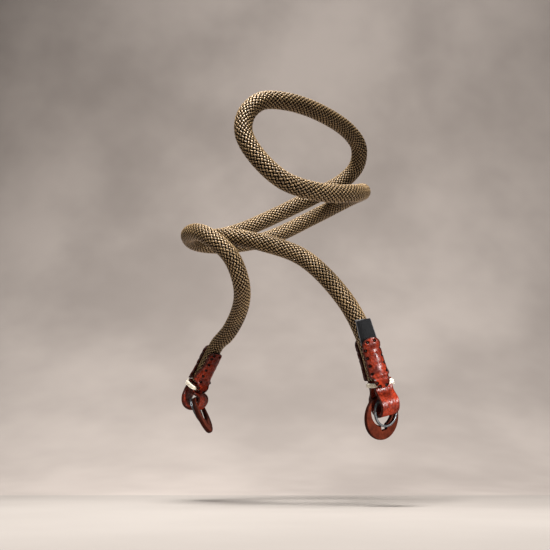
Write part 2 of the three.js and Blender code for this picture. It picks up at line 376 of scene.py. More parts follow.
@dataclass(frozen=True)
class WaxedLeather:
    """Waxed red-brown leather: gloss broken by creases, pale rubbed ridges, burnished dark edges, and painted
    shade in the creases and stitch holes.
    """

    name: str = "waxed_leather"
    red: str = "8e2d16"
    dark: str = "4a1209"
    # crease is a painted shade colour, laid along the crease lines and in the stitch holes.
    crease: str = "170604"
    edge: str = "2b120c"
    rubbed: str = "b9562f"
    gloss: float = 0.36
    coat: float = 0.6
    crease_scale: float = 430.0
    fine_ratio: float = 2.7
    crease_bend: float = 0.005
    crease_depth: float = 0.28

    def material(self) -> bpy.types.Material:
        """Return the leather, from clouds of tone, two nets of creases, pores and marks on the mesh."""
        board = Board(self.name)
        place = board.place()
        rim, matte, hole = [board.mark(name) for name in ("rim", "matte", "hole")]
        cloud = board.noise(place, scale=150, detail=4, rough=0.6)
        pores = board.noise(place, scale=2600, detail=2, rough=0.5)
        streak = board.noise(board.stretched_place(0.2, 0.6), scale=1.0, detail=2, rough=0.5)
        shine = board.noise(board.stretched_place(0.5, 1.0), scale=1.0, detail=3, rough=0.65)
        swirl = board.add("ShaderNodeTexNoise", None, {"Vector": place, "Scale": 260, "Detail": 3}, "Color")
        shares = {0: self.crease_bend, 4: place, 5: swirl}
        bent = board.add("ShaderNodeMix", {"data_type": "VECTOR"}, shares, 1)
        wide = board.cracks(bent, self.crease_scale)
        fine = board.cracks(bent, self.crease_scale * self.fine_ratio)
        # line marks the crease lines, which are darkened as painted shade.
        line = (1 - wide.step(0.0, 0.09)) * cloud.step(0.35, 0.6) * (1 - matte * 0.85)
        ridge = wide.step(0.28, 0.5) * (1 - matte) * pores.step(0.4, 0.7)
        tone = board.layered(
            self.dark,
            (cloud.step(0.32, 0.66), self.red),
            (ridge * 0.3, self.rubbed),
            (line * 0.8, self.crease),
            (rim.step(0.35, 1.0) * 0.85, self.edge),
            # The stitch holes are darkened with the crease colour as painted shade.
            (hole.step(0.1, 0.5), self.crease),
        )
        creases = (wide.step(0.0, 0.3) * 0.8 + fine.step(0.0, 0.3) * 0.1) * (1 - matte * 0.7)
        relief = creases + pores * 0.02 + cloud + streak * 1.2
        return board.surface(
            Base_Color=tone,
            Roughness=self.gloss + pores * 0.08 + matte * 0.24 + line * 0.25 + hole * 0.4,
            Normal=board.bump(relief, self.crease_depth, strength=0.9),
            Specular_IOR_Level=0.03,
            Coat_Weight=shine.step(0.4, 0.6) * self.coat * (1 - matte) * (1 - hole),
            Coat_Roughness=0.33,
        )


@dataclass(frozen=True)
class BoundThread:
    """Waxed cream thread, laid up from twisted plies."""

    pale: str = "f4eddd"
    shade: str = "b7a482"
    ply_rate: float = 5.2

    def material(self) -> bpy.types.Material:
        """Return the thread, with plies drawn as slanting lines on its own surface map."""
        board = Board("bound_thread")
        along, across = board.along_and_across()
        plies = (along * self.ply_rate + across * TURN).wave()
        fuzz = board.noise(board.place(), scale=5200, detail=2, rough=0.6)
        return board.surface(
            Base_Color=board.layered(self.pale, ((1 - plies) ** 2.0 * 0.75 + fuzz * 0.12, self.shade)),
            Roughness=0.72 - plies * 0.12,
            Normal=board.bump(plies + fuzz * 0.4, depth=0.09, strength=0.9),
            Sheen_Weight=0.1,
        )


@dataclass(frozen=True)
class StitchThread:
    """Dark waxed sewing thread that sits in the punched holes."""

    dark: str = "140b07"
    light: str = "3a2418"
    ply_rate: float = 7.0
    ply_slant: float = 9.0

    def material(self) -> bpy.types.Material:
        """Return the thread, with slanting plies."""
        board = Board("stitch_thread")
        along, across = board.along_and_across()
        plies = (along * self.ply_rate + across * self.ply_slant).wave()
        return board.surface(
            Base_Color=board.layered(self.dark, (plies * 0.6, self.light)),
            Roughness=0.6,
            Normal=board.bump(plies, depth=0.05, strength=1.0),
        )


@dataclass(frozen=True)
class RingSteel:
    """Bright spring steel, a little dulled, with fine drawing lines round the wire."""

    bright: str = "7c7f82"
    dull: str = "3c3f42"
    line_rate: float = 90.0
    line_waver: float = 9.0

    def material(self) -> bpy.types.Material:
        """Return the steel, with lines along the wire and clouds of dulling."""
        board = Board("ring_steel")
        across = board.along_and_across()[1]
        cloud = board.noise(board.place(), scale=420, detail=4, rough=0.6)
        lines = (across * self.line_rate + cloud * self.line_waver).wave()
        return board.surface(
            Base_Color=board.layered(self.bright, (cloud.step(0.35, 0.7) * 0.6 + lines * 0.15, self.dull)),
            Metallic=1.0,
            Roughness=0.32 + cloud * 0.2,
            Normal=board.bump(lines * 0.5 + cloud, depth=0.02, strength=0.6),
        )


@dataclass(frozen=True)
class LabelCloth:
    """Black woven label tape with a plain grey selvedge along its edges."""

    black: str = "060607"
    grey: str = "131417"
    selvedge: str = "6c6c6e"
    weave_rate: float = 13.0

    def material(self) -> bpy.types.Material:
        """Return the tape, woven over and under on its own surface map."""
        board = Board("label_cloth")
        along, across = [part * self.weave_rate for part in board.along_and_across()]
        weave = along.sine() * across.sine() * 0.5 + 0.5
        fuzz = board.noise(board.place(), scale=2400, detail=3, rough=0.6)
        tone = board.layered(
            self.black,
            (weave * 0.55 + fuzz * 0.2, self.grey),
            (board.mark("rim").step(0.6, 1.0) * 0.7, self.selvedge),
        )
        return board.surface(
            Base_Color=tone,
            Roughness=0.5 + fuzz * 0.2,
            Normal=board.bump(weave + fuzz * 0.4, depth=0.1, strength=0.8),
            Specular_IOR_Level=0.15,
        )


@dataclass(frozen=True)
class StudioPlaster:
    """Soft mottled plaster for the floor and the sweep behind."""

    name: str
    light: str
    dark: str

    def material(self) -> bpy.types.Material:
        """Return the plaster, with wide soft clouds and a fine tooth."""
        board = Board(self.name)
        place = board.place()
        cloud = board.noise(place, scale=3.2, detail=4, rough=0.55)
        tooth = board.noise(place, scale=260, detail=3, rough=0.6)
        return board.surface(
            Base_Color=board.layered(self.dark, (cloud.step(0.32, 0.7), self.light)),
            Roughness=0.82 + tooth * 0.12,
            Normal=board.bump(tooth, depth=0.12, strength=0.4),
            Specular_IOR_Level=0.2,
        )


def put(name: str, points: Array, faces: list[list[int]], material: bpy.types.Material) -> bpy.types.Object:
    """Make a smoothly shaded object and link it to the scene.

    Args:
        name: the object's name.
        points: its points, in millimetres.
        faces: the point numbers of each face.
        material: its finish.

    Returns:
        The new object.
    """
    mesh = bpy.data.meshes.new(name)
    mesh.from_pydata((points * METRE).tolist(), [], faces)
    mesh.polygons.foreach_set("use_smooth", np.ones(len(faces), bool))
    mesh.materials.append(material)
    made = bpy.data.objects.new(name, mesh)
    bpy.context.scene.collection.objects.link(made)
    return made


@dataclass
class Shell:
    """A mesh in arrays: points, four-sided and three-sided faces, a surface map and vertex marks."""

    points: Array
    quads: Array
    triangles: Array
    flat: Array
    marks: dict[str, Array] = field(default_factory=dict)

    def outward(self) -> "Shell":
        """Return the shell with its faces turned outwards, by the sign of the volume they enclose."""
        halves = [self.quads[:, [0, 1, 2]], self.quads[:, [0, 2, 3]], self.triangles]
        corners = self.points[np.concatenate(halves)]
        volume = np.einsum("ij,ij->", corners[:, 0], np.cross(corners[:, 1], corners[:, 2]))
        if volume < 0:
            self.quads = self.quads[:, ::-1]
            self.triangles = self.triangles[:, ::-1]
        return self

    def carried(self, matrix: Array) -> "Shell":
        """Return the shell moved by a 4 by 4 matrix."""
        self.points = placed(matrix, self.points)
        return self

    def make(self, name: str, material: bpy.types.Material, slot: str) -> bpy.types.Object:
        """Put the shell into Blender as a piece that rides on the strap.

        Args:
            name: the piece's name.
            material: its finish.
            slot: not used.

        Returns:
            The new object.
        """
        faces = self.quads.tolist() + self.triangles.tolist()
        piece = put(name, self.points, faces, material)
        mesh = piece.data
        for key, value in self.marks.items():
            layer = mesh.attributes.new(key, "FLOAT", "POINT")
            layer.data.foreach_set("value", np.asarray(value, np.float32))
        corner = np.empty(len(mesh.loops), np.int32)
        mesh.loops.foreach_get("vertex_index", corner)
        layer = mesh.uv_layers.new(name="UVMap")
        layer.data.foreach_set("uv", self.flat[corner].astype(np.float32).ravel())
        mesh.update()
        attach(piece, BODY)
        log.info("%s: %d points, %d faces", name, len(self.points), len(faces))
        return piece


def together(shells: list[Shell]) -> Shell:
    """Join several shells that carry the same marks into one.

    Args:
        shells: the shells, in order.

    Returns:
        One shell with all their points and faces.
    """
    starts = np.cumsum([0] + [len(shell.points) for shell in shells[:-1]])
    return Shell(
        np.concatenate([shell.points for shell in shells]),
        np.concatenate([shell.quads + start for shell, start in zip(shells, starts)]),
        np.concatenate([shell.triangles + start for shell, start in zip(shells, starts)]),
        np.concatenate([shell.flat for shell in shells]),
        {key: np.concatenate([shell.marks[key] for shell in shells]) for key in shells[0].marks},
    )


def grid_quads(rows: int, columns: int, wrap_rows: bool = False, wrap_columns: bool = False) -> Array:
    """Number the faces of a grid of points, one face for each cell.

    Args:
        rows: how many rows of points.
        columns: how many points in a row.
        wrap_rows: whether the last row joins the first.
        wrap_columns: whether the last column joins the first.

    Returns:
        Four point numbers for each face.
    """
    row = np.arange(rows if wrap_rows else rows - 1)[:, None]
    column = np.arange(columns if wrap_columns else columns - 1)[None, :]
    beside = (column + 1) % columns
    here = row * columns
    below = (row + 1) % rows * columns
    corners = [here + column, here + beside, below + beside, below + column]
    return np.stack(corners, -1).reshape(-1, 4)


def swept(rings: Array, flat: Array, marks: dict[str, Array] | None = None, looped: bool = False) -> Shell:
    """Join rings of points into a closed skin: a profile carried along a path.

    The skin joins each ring to the next. A path that isn't looped gets a fan of faces over each end,
    round the mean of the end's ring.

    Args:
        rings: points as rows along the path, columns round the profile.
        flat: surface map for the same grid.
        marks: vertex marks for the same grid.
        looped: whether the last ring joins the first.

    Returns:
        The skin, facing outwards.
    """
    rows, columns = rings.shape[:2]
    points = rings.reshape(-1, 3)
    quads = grid_quads(rows, columns, looped, True)
    values = {key: np.asarray(value, float).reshape(-1) for key, value in (marks or {}).items()}
    skin = flat.reshape(-1, 2)
    triangles = np.empty((0, 3), int)
    if not looped:
        centres = rings[[0, -1]].mean(1)
        start = np.arange(columns)
        following = np.roll(start, -1)
        last = (rows - 1) * columns
        first_fan = np.stack([following, start, np.full(columns, rows * columns)], 1)
        last_fan = np.stack([start + last, following + last, np.full(columns, rows * columns + 1)], 1)
        triangles = np.concatenate([first_fan, last_fan])
        points = np.concatenate([points, centres])
        skin = np.concatenate([skin, flat[[0, -1], 0]])
        values = {key: np.concatenate([value, value[[0, -1]]]) for key, value in values.items()}
    return Shell(points, quads, triangles, skin, values).outward()


def carried_normals(points: Array, tangents: Array) -> Array:
    """Carry one normal along a path without twist, reflecting it twice from each point to the next.

    Args:
        points: points on the path.
        tangents: unit directions at them.

    Returns:
        A unit normal at each point.
    """
    first = unit(np.cross(tangents[0], (0.31, 0.95, 0.05)))

    def carry(normal: Array, index: int) -> Array:
        """Return the normal at the next point."""
        chord = points[index + 1] - points[index]
        mirrored = normal - chord * (2 * (chord @ normal) / (chord @ chord))
        heading = tangents[index] - chord * (2 * (chord @ tangents[index]) / (chord @ chord))
        gap = tangents[index + 1] - heading
        size = gap @ gap
        return mirrored if size < 1e-18 else mirrored - gap * (2 * (gap @ mirrored) / size)

    return np.array(list(accumulate(range(len(points) - 1), carry, initial=first)))


def tube_rings(points: Array, normals: Array, sides: Array, profile: Array) -> Array:
    """Place a flat profile square to a path: point plus normal times x plus side times y.

    Args:
        points: points on the path.
        normals: where the profile's x goes at each point.
        sides: where its y goes.
        profile: x and y of the profile's points.

    Returns:
        Rings of points, rows along the path.
    """
    x = profile[None, :, :1] * normals[:, None, :]
    y = profile[None, :, 1:] * sides[:, None, :]
    return points[:, None, :] + x + y


def around(count: int) -> Array:
    """Return angles spaced evenly round a full turn."""
    return np.linspace(0, TURN, count, endpoint=False)


def soft_oblong(angle: Array, half_x: float, half_y: float, power: float = 1.0) -> Array:
    """Return points of a superellipse: each half size times a signed power of the cosine or the sine.

    Args:
        angle: the points' angles.
        half_x: half its size along x.
        half_y: half its size along y.
        power: 1 for an ellipse, and squarer as it nears 0.

    Returns:
        The points, as x and y.
    """
    turn = np.stack([np.cos(angle), np.sin(angle)], -1)
    return np.sign(turn) * np.abs(turn) ** power * (half_x, half_y)


def flat_bar(half_width: float, half_depth: float, corner: float, across: int, round_steps: int) -> Array:
    """Return points round a flat bar with rounded corners, evenly spaced on its long faces.

    The front and its two corners are laid out, and the back is the same turned half round.

    Args:
        half_width: half its width, along y.
        half_depth: half its thickness, along x.
        corner: the radius of its corners.
        across: points on each long face.
        round_steps: points on each corner.

    Returns:
        The points, as x and y.
    """
    width = half_width - corner
    depth = half_depth - corner
    face = np.stack([np.full(across, half_depth), np.linspace(-width, width, across)], 1)
    angle = np.linspace(0, np.pi / 2, round_steps + 1)[1:]
    quarter = corner * np.stack([np.cos(angle), np.sin(angle)], 1)
    half = np.concatenate([face, quarter + (depth, width), quarter[::-1] * (-1, 1) + (-depth, width)])
    return np.concatenate([half, -half])


def rounded_section(across: int, steps: int, edge_power: float, depth_power: float) -> tuple[Array, ...]:
    """Lay out a flat section with rounded edges, in shares that fit any width and thickness.

    Round an edge the bulge is a power of the cosine and the depth a signed power of the sine.

    Args:
        across: points on each face.
        steps: points on each edge.
        edge_power: 1 for a round bulge, and squarer as it nears 0.
        depth_power: the same for the depth.

    Returns:
        The share of the width, from -1 to 1, the bulge beyond it, and the depth, from -1 to 1.
    """
    face = np.linspace(-1, 1, across)
    angle = np.linspace(np.pi / 2, -np.pi / 2, steps + 2)[1:-1]
    one = np.ones(steps)
    bulge = np.cos(angle) ** edge_power
    deep = np.sign(np.sin(angle)) * np.abs(np.sin(angle)) ** depth_power
    share = np.concatenate([face, one, face[::-1], -one])
    beyond = np.concatenate([0 * face, bulge, 0 * face, -bulge])
    depth = np.concatenate([0 * face + 1, deep, 0 * face - 1, deep[::-1]])
    return share, beyond, depth


@dataclass(frozen=True)
class EndPose:
    """How one end of the strap hangs.

    eye is a point just under the fold; roll, pitch and yaw turn the loop; neck and kink say how the neck
    stands off and leans; sway, twist and slip how the sleeve leans, turns and stands aside on it. wring is
    how far the fold is turned against the neck. fold and inside give the fold's place and room. tilt, turn,
    shift, drop and aside place the guard, and rise lifts the ring on it. seat is the covers' distance from
    the rope's axis, foot where they start, and tongue_out and tongue_in how far the outer and inner ones
    reach down. stitch_near and stitch_far are the rows of stitch holes, across, and stitch_up their heights,
    and wrap is how much further the covers' feet reach round the rope.
    """

    side: Side
    eye: tuple[float, float, float]
    roll: float
    pitch: float
    yaw: float
    neck: float
    kink: float
    sway: float
    twist: float
    slip: float
    wring: float
    fold: float
    inside: float
    tilt: float
    turn: float
    shift: float
    drop: float
    aside: float
    rise: float
    seat: float
    foot: float
    tongue_out: float
    tongue_in: float
    label: bool
    rope_stops: tuple[float, ...]
    stitch_near: float
    stitch_far: float
    stitch_up: tuple[float, ...]
    wrap: float

    neck_start: float = 15.0
    sleeve_start: float = 5.4
    leather: float = 2.0

    def fitting(self) -> Array:
        """Return the matrix of the whole end."""
        turns = turned(Axis.Z, self.yaw) @ turned(Axis.Y, self.pitch) @ turned(Axis.X, self.roll)
        return moved(*self.eye) @ turns

    def neck_place(self) -> Array:
        """Return the matrix of the bound neck."""
        return self.fitting() @ moved(self.neck, 0, self.neck_start) @ turned(Axis.Y, self.kink)

    def sleeve(self) -> Array:
        """Return the matrix of the covered sleeve, whose z is the rope's axis."""
        leaning = turned(Axis.X, self.sway) @ turned(Axis.Z, self.twist)
        return self.neck_place() @ moved(0, self.slip, self.sleeve_start) @ leaning

    def fold_middle(self) -> float:
        """Return the height of the fold's middle over the eye."""
        return self.fold + self.leather + self.inside

    def hardware(self) -> Array:
        """Return the matrix of the guard and ring: down from the fold's middle, then tilted and turned."""
        angle = math.radians(self.tilt)
        up = np.array([math.sin(angle), 0, math.cos(angle)])
        out = np.array([math.cos(angle), 0, -math.sin(angle)])
        centre = np.array([0, 0, self.fold_middle()])
        centre = centre - up * (self.inside + self.leather / 2 + self.drop) + out * self.shift
        wrung = self.fitting() @ turned(Axis.Z, self.wring)
        return wrung @ moved(*centre) @ turned(Axis.Y, self.tilt) @ turned(Axis.Z, self.turn)

    def wrung(self, points: Array) -> Array:
        """Return the loop's points turned about the upright, by less and less towards the neck."""
        share = 1 - smooth(points[..., 2], self.fold_middle(), self.neck_start)
        angle = math.radians(self.wring) * share
        x = points[..., 0] * np.cos(angle) - points[..., 1] * np.sin(angle)
        y = points[..., 0] * np.sin(angle) + points[..., 1] * np.cos(angle)
        return np.stack([x, y, points[..., 2]], -1)

    def axis_points(self, heights: list[float]) -> Array:
        """Return points on the sleeve's axis."""
        return placed(self.sleeve(), np.array([[0, 0, height] for height in heights], float))


LEFT_END = EndPose(
    side=Side.LEFT, eye=(-69.5, -7.5, 3.0), roll=-2.2, pitch=-6, yaw=180, neck=0.4, kink=-30,
    sway=0, twist=-7, slip=0, wring=15, fold=0.2, inside=5.2,
    tilt=30, turn=14, shift=-0.7, drop=2.1, aside=0, rise=1.0,
    seat=4.6, foot=-0.4, tongue_out=0, tongue_in=5.0, label=False, rope_stops=(13, 25),
    stitch_near=-2.6, stitch_far=5.2, stitch_up=(19.4, 15.1, 10.7, 6.3, 1.9), wrap=2.0,
)
RIGHT_END = EndPose(
    side=Side.RIGHT, eye=(70.4, 3.5, -4.6), roll=15, pitch=6, yaw=-27, neck=0, kink=0,
    sway=6, twist=-10, slip=-1.4, wring=0, fold=-1.4, inside=5.2,
    tilt=7, turn=11, shift=-2.3, drop=-1.9, aside=-1.7, rise=-0.4,
    seat=5.5, foot=0.4, tongue_out=5.4, tongue_in=0, label=True, rope_stops=(24,),
    stitch_near=-3.7, stitch_far=4.4, stitch_up=(17.6, 13.2, 8.7, 4.1), wrap=0.4,
)

ROUTE = (
    (-31, -16, 52), (-9, -31, 64), (3, -46, 74), (4, -56, 86), (-5, -62, 97),
    (-20, -60, 105), (-36, -51, 108), (-44, -37, 108), (-41, -17, 110), (-24, 12, 118.5),
    (0, 33, 134.5), (33, 28, 139.5), (56.5, 7.5, 133), (66.5, -19.5, 122), (63, -45.5, 115.5),
    (53, -68, 118), (42, -79, 132), (36, -83, 146), (36, -81, 158), (40, -73, 168),
    (46, -57, 172.5), (50, -26, 175.5), (49, 8, 175), (47, 21, 170), (40, 29, 162),
    (30.5, 29, 154.5), (11.5, 14, 140.5), (-20.5, -12.5, 119.5), (-29, -24, 113.5), (-28, -38, 108),
    (-18, -48, 104), (-3, -50, 101), (18, -42, 95), (38, -30, 85), (61, -22, 58),
)


@dataclass
class Rope:
    """The braided rope: a core tube painted dark as the shade between small domes, one dome for each place
    where a strand comes up.
    """

    ends: tuple[EndPose, EndPose]
    radius: float = 5.25
    start: float = -0.2
    exit_height: float = 24.0
    spacing: float = 0.5
    span_steps: int = 160
    path_step: int = 4
    strands: int = 14
    period: float = 3.0
    core: float = 4.62
    core_sides: int = 16
    core_step: float = 3.0
    root: float = 4.48
    rise: float = 1.06
    wobble: float = 0.05
    half_long: float = 1.56
    half_wide: float = 0.74
    taper: float = 0.3
    dome_along: tuple[float, ...] = (-1, -0.44, 0.44, 1)
    dome_across: tuple[float, ...] = (-1, -0.46, 0.46, 1)
    along_power: float = 2.4
    across_power: float = 2.2
    press_floor: float = -9.0
    press_low: float = 26.0
    press_high: float = 36.0
    press_gap: float = 0.3

    def stops(self) -> Array:
        """Return all the points that the rope's axis passes through, from left to right."""
        left, right = self.ends
        first = left.axis_points([self.start, *left.rope_stops])
        last = right.axis_points([self.start, *right.rope_stops])[::-1]
        return np.concatenate([first, np.array(ROUTE, float), last])

    def axis(self) -> Array:
        """Lay a smooth curve through the stops and space points evenly on it.

        Between two stops the curve is a cubic whose end slopes come from the square roots of the spans
        beside it, and the end stops are carried on by one mirrored span.

        Returns:
            Points on the rope's axis.
        """
        stops = self.stops()
        full = np.concatenate([[2 * stops[0] - stops[1]], stops, [2 * stops[-1] - stops[-2]]])
        span = np.sqrt(np.linalg.norm(np.diff(full, axis=0), axis=1))[:, None]
        before, here, after, beyond = full[:-3], full[1:-2], full[2:-1], full[3:]
        d0, d1, d2 = span[:-2], span[1:-1], span[2:]
        leave = ((here - before) / d0 - (after - before) / (d0 + d1) + (after - here) / d1) * d1
        arrive = ((after - here) / d1 - (beyond - here) / (d1 + d2) + (beyond - after) / d2) * d1
        t = np.linspace(0, 1, self.span_steps, endpoint=False)[None, :, None]
        square = -3 * here + 3 * after - 2 * leave - arrive
        cube = 2 * here - 2 * after + leave + arrive
        curve = here[:, None] + leave[:, None] * t + square[:, None] * t**2 + cube[:, None] * t**3
        dense = np.concatenate([curve.reshape(-1, 3), stops[-1:]])
        return evenly(dense, int(distances(dense)[-1] / self.spacing) + 1)[0]

    def on_surface(self, along: Array, angle: Array, radius: Array | float) -> Array:
        """Place points by distance along the rope, angle round it and distance from its axis.

        Args:
            along: distances along the axis.
            angle: angles from the carried normal.
            radius: distances from the axis.

        Returns:
            Points, with a last axis of three.
        """
        parts = []
        for k in range(3):
            centre = np.interp(along, self.gone, self.points[:, k])
            normal = np.interp(along, self.gone, self.normals[:, k])
            side = np.interp(along, self.gone, self.sides[:, k])
            parts.append(centre + radius * (np.cos(angle) * normal + np.sin(angle) * side))
        return np.stack(parts, -1)

    def trace(self) -> None:
        """Work out the axis, its length and the directions square to it."""
        self.points = self.axis()
        self.gone = distances(self.points)
        tangents = unit(np.gradient(self.points, axis=0))
        self.normals = carried_normals(self.points, tangents)
        self.sides = np.cross(tangents, self.normals)

    def pressed(self, points: Array) -> Array:
        """Flatten the rope between the covers of each sleeve.

        Across the covers a point's distance from the axis shrinks to what the covers leave, and it swells
        back to the round section above them.

        Args:
            points: points on the rope.

        Returns:
            The points, flattened in the sleeves.
        """
        for end in self.ends:
            local = placed(np.linalg.inv(end.sleeve()), points)
            height = local[..., 2]
            near = np.hypot(local[..., 0], local[..., 1]) < 2 * self.radius
            inside = near & (height > self.press_floor) & (height < self.press_high)
            share = np.where(inside, 1 - smooth(height, self.press_low, self.press_high), 0)
            local[..., 0] *= 1 - share * (1 - (end.seat - self.press_gap) / self.radius)
            points = placed(end.sleeve(), local)
        return points

    def core_shell(self) -> Shell:
        """Return the tube under the strands, a circle carried along the axis, whose lift of 0 gives it the
        yarn's painted gap shade.
        """
        rows = np.linspace(0, self.gone[-1], int(self.gone[-1] / self.core_step))
        along, angle = np.meshgrid(rows, around(self.core_sides), indexing="ij")
        rings = self.pressed(self.on_surface(along, angle, self.core))
        # A lift of 0 paints the whole core with the gap shade.
        return swept(rings, np.stack([along, angle], -1), {"lift": 0 * along, "tone": 0 * along})

    def strand_shell(self, slant: Slant) -> Shell:
        """Lay the domes of the strands that wind one way.

        Strands of the two slants come up in alternate columns round the rope, one every period, and a
        column of one slant is half a period on from its neighbours. A dome runs along its strand, and its
        height over the root is the rise times (1 - u to a power) times (1 - v to a power), with u along
        and v across from -1 to 1.

        Args:
            slant: the way the strands wind.

        Returns:
            The domes, as open caps whose edges are sunk in the core.
        """
        sign = slant.value
        first = 0 if slant is Slant.RISING else 1
        columns = np.arange(first, 2 * self.strands, 2)
        steps = np.arange(first, int(2 * self.gone[-1] / self.period) + 1, 2)
        column, step = [part.ravel() for part in np.meshgrid(columns, steps, indexing="ij")]
        strand = (column - sign * step) / 2 % self.strands
        tone = 0.3 + 0.5 * scatter(strand + 20 * sign) + 0.2 * scatter(column * 7.3 + step * 1.7)
        wobble = self.wobble * (scatter(step * 3.1 + column) - 0.5)
        u = np.array(self.dome_along)[:, None]
        v = np.array(self.dome_across)[None, :]
        forward = self.half_long * u + 0 * v
        aside = self.half_wide * v * (1 - self.taper * u**2)
        up = (1 - np.abs(u) ** self.along_power) * (1 - np.abs(v) ** self.across_power)
        raised = up > 0
        lean = math.atan2(TURN * self.radius, self.period * self.strands)
        centre = (step * self.period / 2)[:, None, None]
        turn = (math.pi * column / self.strands)[:, None, None]
        along = centre + forward * math.cos(lean) - sign * aside * math.sin(lean)
        angle = turn + (sign * forward * math.sin(lean) + aside * math.cos(lean)) / self.radius
        radius = self.root + self.rise * up + wobble[:, None, None] * raised
        points = self.on_surface(np.clip(along, 0, self.gone[-1]), angle, radius)
        cell = grid_quads(*up.shape)[:, ::-1]
        quads = np.arange(len(column))[:, None, None] * up.size + cell
        flat = np.stack(np.broadcast_arrays(centre + forward, aside), -1)
        marks = {
            "lift": np.tile(raised.ravel().astype(float), len(column)),
            "tone": np.repeat(tone, up.size),
        }
        none = np.empty((0, 3), int)
        domes = self.pressed(points).reshape(-1, 3)
        return Shell(domes, quads.reshape(-1, 4), none, flat.reshape(-1, 2), marks)

    def build(self) -> None:
        self.trace()
        shells = [self.core_shell(), self.strand_shell(Slant.RISING), self.strand_shell(Slant.FALLING)]
        rope = together(shells).make("braided_rope", BraidYarn().material(), "rope")
        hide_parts("rope")
        tuple(self.ends[0].axis_points([self.exit_height])[0] * METRE)


@dataclass
class Strip:
    """A leather or cloth strip bent round the sleeve's axis, thick and with rounded edges.

    half_width, seat and bend give half its width, its inner face's distance from the axis and the radius
    that it is bent to, at each height. holes are stitch holes, as across and height, and crease is the
    height of a groove across it. slant tips the upper end, and end_draw is the thickness left in the last
    two rows at each end.
    """

    low: float
    high: float
    thickness: float
    half_width: Size
    seat: Size
    bend: Size
    corner: float = 0.5
    across: int = 44
    rows: int = 120
    edge_steps: int = 5
    edge_power: float = 0.7
    end_draw: tuple[float, float] = (0.35, 0.75)
    slant: float = 0.0
    ripple: float = 0.08
    holes: tuple[tuple[float, float], ...] = ()
    hole_depth: float = 0.9
    hole_size: float = 1.15
    hole_floor: float = 0.35
    crease: float | None = None
    groove_depth: float = 0.55
    groove_width: float = 0.45
    swell: float = 0.35
    swell_width: float = 1.3
    swell_rise: float = 1.9
    rim_width: float = 1.1
    rim_solid: float = 0.3
    end_rim: float = 0.7
    dull_low: float = -1.0
    dull_high: float = 1.2

    def shell(self) -> Shell:
        """Carry the strip's rounded section up the sleeve.

        At each height the section runs across an arc of the bend's radius, from the seat out to the
        thickness. Its outer face sinks by a soft step round each stitch hole and ripples by a product of
        sines, and the last rows at each end draw in to a rounded edge.

        Returns:
            The strip, in the sleeve's frame.
        """
        share = np.concatenate([[0, 0], np.linspace(0, 1, self.rows), [1, 1]])
        height = self.low + (self.high - self.low) * (1 - np.cos(np.pi * share)) / 2
        draw = np.ones((len(share), 1))
        draw[[0, -1]], draw[[1, -2]] = self.end_draw
        half = self.half_width(height)[:, None]
        edge, bulge, deep = rounded_section(self.across, self.edge_steps, self.edge_power, self.edge_power)
        depth = 0.5 + 0.5 * deep
        outer = smooth(depth, 0.55, 0.95)
        x = edge * (half - self.corner) + bulge * self.corner
        y = 0.5 + (depth - 0.5) * draw
        z = height[:, None] + self.slant * x * smooth(height, self.low, self.high)[:, None]
        sink = np.zeros_like(x)
        for across, up in self.holes:
            away = np.hypot(x - across, z - up)
            sink = np.maximum(sink, 1 - smooth(away, self.hole_floor * self.hole_size, self.hole_size))
        wave = np.sin(z * 0.9 + x * 0.5) * np.sin(x * 0.8 - z * 0.35 + 1.0)
        relief = self.ripple * wave - self.hole_depth * sink
        if self.crease is not None:
            over = z - self.crease
            relief = relief + self.swell * bell(over - self.swell_rise, self.swell_width)
            relief = relief - self.groove_depth * bell(over, self.groove_width)
        bend = self.bend(height)[:, None]
        radius = bend + self.thickness * y + outer * relief
        angle = x / bend
        centre = self.seat(height)[:, None] - bend
        rings = np.stack([centre + radius * np.cos(angle), radius * np.sin(angle), z], -1)
        from_end = np.minimum(z - self.low, self.high - z)
        side = smooth(np.abs(x), half - self.rim_width, half - self.rim_solid * self.rim_width)
        marks = {
            "rim": np.maximum(side, 1 - smooth(from_end, 0.0, self.end_rim)),
            # hole marks the sunk ring round each stitch hole, which the leather paints with shade.
            "hole": sink * outer,
            "matte": 1 - smooth(z, self.dull_low, self.dull_high),
        }
        return swept(rings, np.stack([z, x], -1), marks)

    def hole_places(self) -> Array:
        """Return the stitch holes on the outer face, as points with the outward direction after them."""
        across, up = np.array(self.holes).T
        bend = self.bend(up)
        radius = bend + self.thickness - self.hole_depth
        angle = across / bend
        centre = self.seat(up) - bend
        out = np.stack([np.cos(angle), np.sin(angle), 0 * up], 1)
        return np.concatenate([out * radius[:, None] + np.stack([centre, 0 * up, up], 1), out], 1)


@dataclass
class StitchDomes:
    """The small domes of thread that show in a cover's stitch holes."""

    places: Array
    out: float = 0.34
    aside: float = 0.5
    up: float = 0.62
    rows: int = 6
    sides: int = 8
    lowest: float = 0.94 * np.pi

    def shell(self) -> Shell:
        """Set a flattened ball in each hole.

        It stands out by the cosine, and aside and up by the sine, of the angle from its crown, each times
        its own size.

        Returns:
            All the domes, with their undersides closed.
        """
        fall, turn = np.meshgrid(np.linspace(0.0, self.lowest, self.rows), around(self.sides), indexing="ij")
        out = self.out * np.cos(fall)
        aside = self.aside * np.sin(fall) * np.cos(turn)
        up = self.up * np.sin(fall) * np.sin(turn)
        middle = self.places[:, None, None, :3]
        ahead = self.places[:, None, None, 3:]
        beside = np.cross(UP, ahead)
        rings = middle + ahead * out[..., None] + beside * aside[..., None] + UP * up[..., None]
        flat = np.stack([fall, turn], -1)
        return together([swept(ring, flat) for ring in rings])


